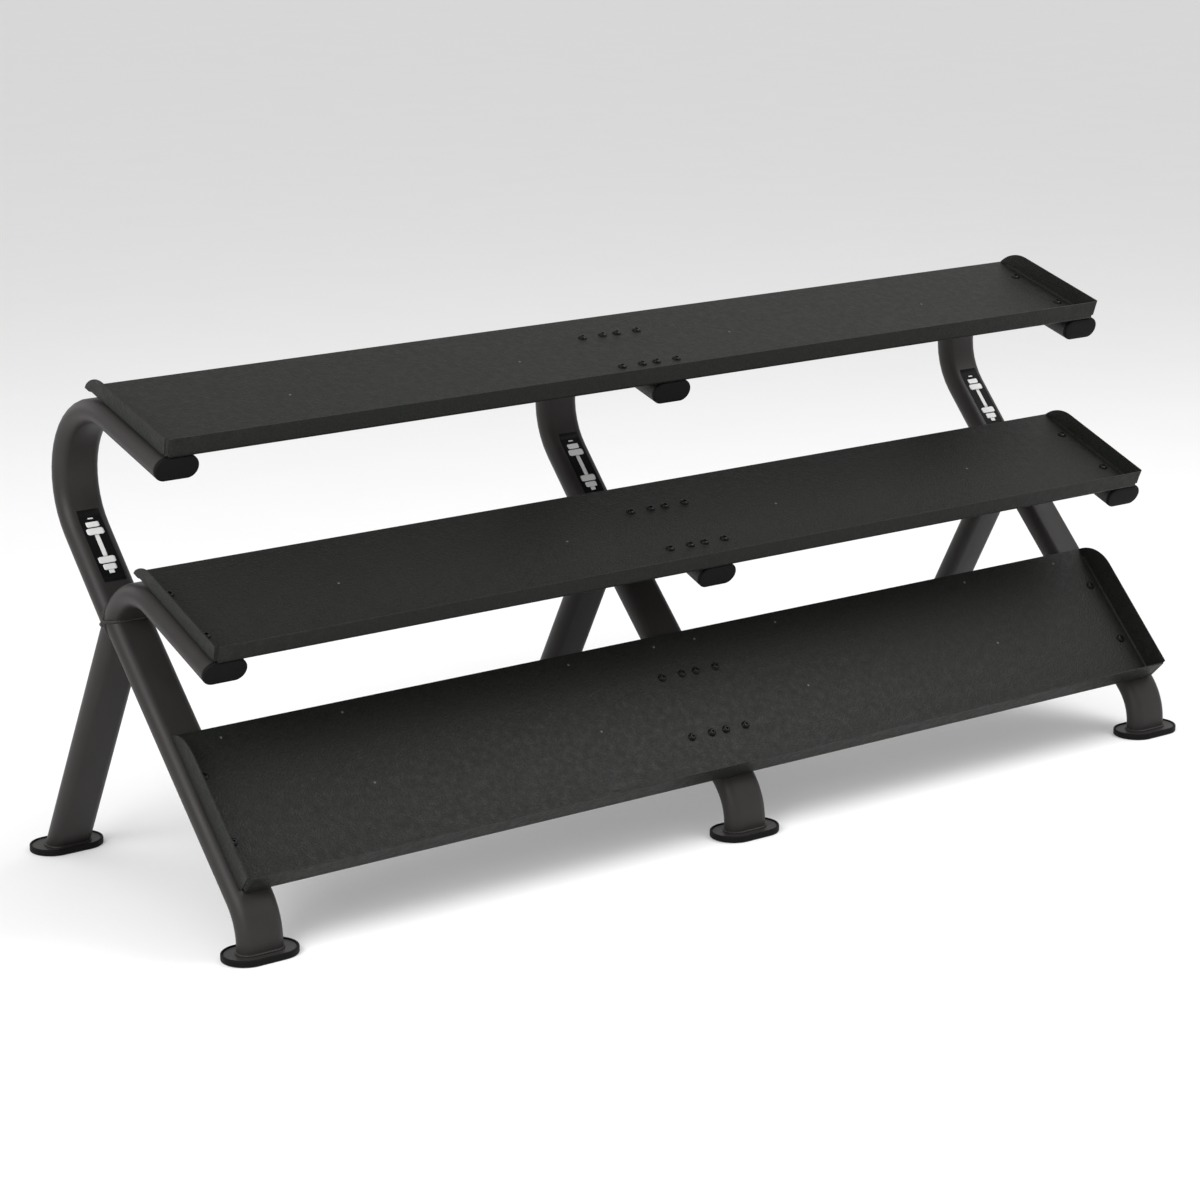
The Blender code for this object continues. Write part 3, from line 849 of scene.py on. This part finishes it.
rearFront = Vector((0, -rearUp.z, rearUp.y))
for side, x in rack["frames"].items():
    legBead = jointBead(x, deckDirection("lower"), legJoint, rearFront)
    layBead(side + "_leg_joint_weld", legBead, weld["joint"], True)
    armBead = jointBead(x, armUp, armJoint, -rearFront)
    layBead(side + "_arm_joint_weld", armBead, weld["joint"], True)
    height = tube["foot"] + 0.0008
    for end, y, lean in (("front", -rack["footReach"], 0.0), ("rear", rearStart.y, tube["rearLean"])):
        stretch = 1 / math.cos(math.radians(lean))
        ring = [Vector((x + across, y + offset * stretch, height)) for across, offset in ovalSteps(108)]
        layBead("%s_%s_foot_weld" % (side, end), ring, weld["foot"], True)
for tier in tiers:
    middle = tiers[tier]["bolts"] + bolt["rowSpacing"] / 2
    low = -tray["sheet"] - rack["gap"] - wing["thickness"] - 0.0006
    for side, sign in (("left", -1), ("right", 1)):
        x = sign * (bolt["outer"] - wing["width"] / 2 - 0.0002)
        steps = [middle + wing["length"] * (step / 60 - 0.5) * 0.86 for step in range(61)]
        points = [deckMatrix(tier, x, distance, low) @ Vector() for distance in steps]
        layBead("%s_%s_wing_weld" % (tier, side), points, weld["wing"], False)
print("welds done")


# ---- plain labels on the upper arms ----
label = {
    "top": -0.205,
    "bottom": -0.372,
    "left": -0.0235,
    "right": 0.0285,
    "lift": 0.00025,
    "thick": 0.00018,
    "corner": 0.04,
    "markLift": 0.00045,
    "markThick": 0.00012,
}
markParts = [
    # (centre along, centre across, half along, half across): a dumbbell
    (0.0, 0.0, 0.0255, 0.0050), (-0.0335, 0.0, 0.0075, 0.0190), (0.0335, 0.0, 0.0075, 0.0190),
    (-0.0500, 0.0, 0.0065, 0.0145), (0.0500, 0.0, 0.0065, 0.0145),
    (-0.0610, 0.0, 0.0040, 0.0060), (0.0610, 0.0, 0.0040, 0.0060),
]
armNormal = Vector((0, -armUp.z, armUp.y))


armInto = (topCorner - armJoint).normalized()
armTurn = math.acos(-armInto.dot(deckDirection("top")))
armBendStart = (topCorner - armBase).dot(armUp) - tube["topBend"] * math.tan(armTurn / 2)


def armSkin(across, along, lift):
    # a point on the upper arm's front face: straight up to the bend, then round with it
    over = max(0.0, abs(across) - tube["flat"])
    height = math.sqrt(max(0.0, tube["radius"] ** 2 - over ** 2)) + lift
    straight = min(along, armBendStart)
    point = Vector((across, armBase.y, armBase.z)) + armUp * straight + armNormal * height
    if along > armBendStart:
        reach = tube["topBend"] - height
        angle = (along - armBendStart) / reach
        point += armUp * reach * math.sin(angle) + armNormal * reach * (1 - math.cos(angle))
    return point


def skinPatch(name, x, box, lift, thick, material, segments):
    acrossLow, acrossHigh, alongLow, alongHigh = box
    bm = bmesh.new()
    bmesh.ops.create_grid(bm, x_segments=segments[0], y_segments=segments[1], size=0.5)
    corners = [v for v in bm.verts if abs(abs(v.co.x) - 0.5) < 0.001 and abs(abs(v.co.y) - 0.5) < 0.001]
    inset = label["corner"]
    for v in corners:
        v.co.x -= math.copysign(inset, v.co.x)
        v.co.y -= math.copysign(inset * (acrossHigh - acrossLow) / (alongHigh - alongLow), v.co.y)
    for v in bm.verts:
        across = acrossLow + (acrossHigh - acrossLow) * (v.co.x + 0.5)
        along = alongLow + (alongHigh - alongLow) * (v.co.y + 0.5)
        v.co = armSkin(across, along, lift) + Vector((x, 0, 0))
    bmesh.ops.recalc_face_normals(bm, faces=bm.faces)
    if sum((f.normal.dot(armNormal) for f in bm.faces), 0.0) < 0:
        bmesh.ops.reverse_faces(bm, faces=bm.faces)
    piece = newPiece(bm, name, material)
    film = piece.modifiers.new("film", "SOLIDIFY")
    film.thickness = thick
    film.offset = -1.0
    return piece


for side, x in rack["frames"].items():
    box = (label["left"], label["right"], label["bottom"], label["top"])
    skinPatch(side + "_arm_label", x, box, label["lift"], label["thick"], materials["labelBlack"], (36, 10))
    centreAlong = (label["top"] + label["bottom"]) / 2
    centreAcross = (label["left"] + label["right"]) / 2
    for index, (along, across, halfAlong, halfAcross) in enumerate(markParts):
        box = (
            centreAcross + across - halfAcross, centreAcross + across + halfAcross,
            centreAlong + along - halfAlong, centreAlong + along + halfAlong)
        skinPatch(
            "%s_arm_mark_%d" % (side, index), x, box, label["markLift"], label["markThick"],
            materials["labelWhite"], (10, 6))
print("labels done")


# ---- floor, light and camera ----
studio = {
    "floor": (0.80, 0.80, 0.80),
    "floorDark": (0.79, 0.79, 0.79),
    "floorGlow": 0.10,
    "world": 0.72,
    "key": 170.0,
    "top": 150.0,
    "rear": 25.0,
}
bm = bmesh.new()
bmesh.ops.create_grid(bm, x_segments=4, y_segments=4, size=30.0)
floorMesh = meshOf(bm, "studioFloor")
floorMaterial = bpy.data.materials.new("paleFloor")
floorMaterial.use_nodes = True
floorTree = floorMaterial.node_tree
floorShader = floorTree.nodes["Principled BSDF"]
floorTone = rangeNode(floorTree, noiseNode(floorTree, objectCoords(floorTree), 3.0, 4.0, 0.5), 0.3, 0.7)
floorColour = mixColour(floorTree, floorTone, studio["floorDark"], studio["floor"])
floorTree.links.new(floorColour, floorShader.inputs["Base Color"])
floorShader.inputs["Roughness"].default_value = 0.9
floorShader.inputs["Specular IOR Level"].default_value = 0.1
floorShader.inputs["Emission Color"].default_value = (1.0, 1.0, 1.0, 1.0)
floorShader.inputs["Emission Strength"].default_value = studio["floorGlow"]
floorMesh.materials.append(floorMaterial)
floor = bpy.data.objects.new("studioFloor", floorMesh)
floor.location.z = -0.0005
bpy.context.scene.collection.objects.link(floor)

world = bpy.data.worlds.new("softRoom")
world.use_nodes = True
world.node_tree.nodes["Background"].inputs["Color"].default_value = (1.0, 1.0, 1.0, 1.0)
world.node_tree.nodes["Background"].inputs["Strength"].default_value = studio["world"]
bpy.context.scene.world = world


def softLight(name, place, aim, size, power):
    lamp = bpy.data.lights.new(name, "AREA")
    lamp.shape = "RECTANGLE"
    lamp.size, lamp.size_y = size
    lamp.energy = power
    holder = bpy.data.objects.new(name, lamp)
    holder.location = place
    holder.rotation_euler = (Vector(aim) - Vector(place)).to_track_quat("-Z", "Y").to_euler()
    bpy.context.scene.collection.objects.link(holder)


softLight("keyLight", (-4.6, -1.6, 3.2), (-0.2, 0, 0.5), (3.2, 2.4), studio["key"])
softLight("topLight", (2.6, -1.6, 4.4), (0.3, -0.3, 0.3), (3.4, 2.6), studio["top"])
softLight("rearLight", (-2.5, 4.4, 2.2), (-0.3, 0, 0.5), (3.0, 2.4), studio["rear"])

shot = {
    "place": (-4.1939, -5.6454, 2.3168),
    "azimuth": -36.052,
    "elevation": 15.038,
    "roll": -0.410,
    "lens": 99.896,
}
azimuth, elevation, roll = (math.radians(shot[key]) for key in ("azimuth", "elevation", "roll"))
levelRight = Vector((math.cos(azimuth), math.sin(azimuth), 0))
back = Vector((
    math.sin(azimuth) * math.cos(elevation), -math.cos(azimuth) * math.cos(elevation), math.sin(elevation)))
levelUp = back.cross(levelRight)
right = levelRight * math.cos(roll) + levelUp * math.sin(roll)
up = levelUp * math.cos(roll) - levelRight * math.sin(roll)
lens = bpy.data.cameras.new("rackCamera")
lens.lens = shot["lens"]
lens.sensor_width = 36.0
lens.clip_end = 100.0
camera = bpy.data.objects.new("rackCamera", lens)
turned = Matrix((right, up, back)).transposed().to_4x4()
camera.matrix_world = Matrix.Translation(shot["place"]) @ turned
bpy.context.scene.collection.objects.link(camera)
bpy.context.scene.camera = camera
bpy.context.scene.view_settings.view_transform = "Standard"
print("studio ready")

bpy.context.view_layer.update()
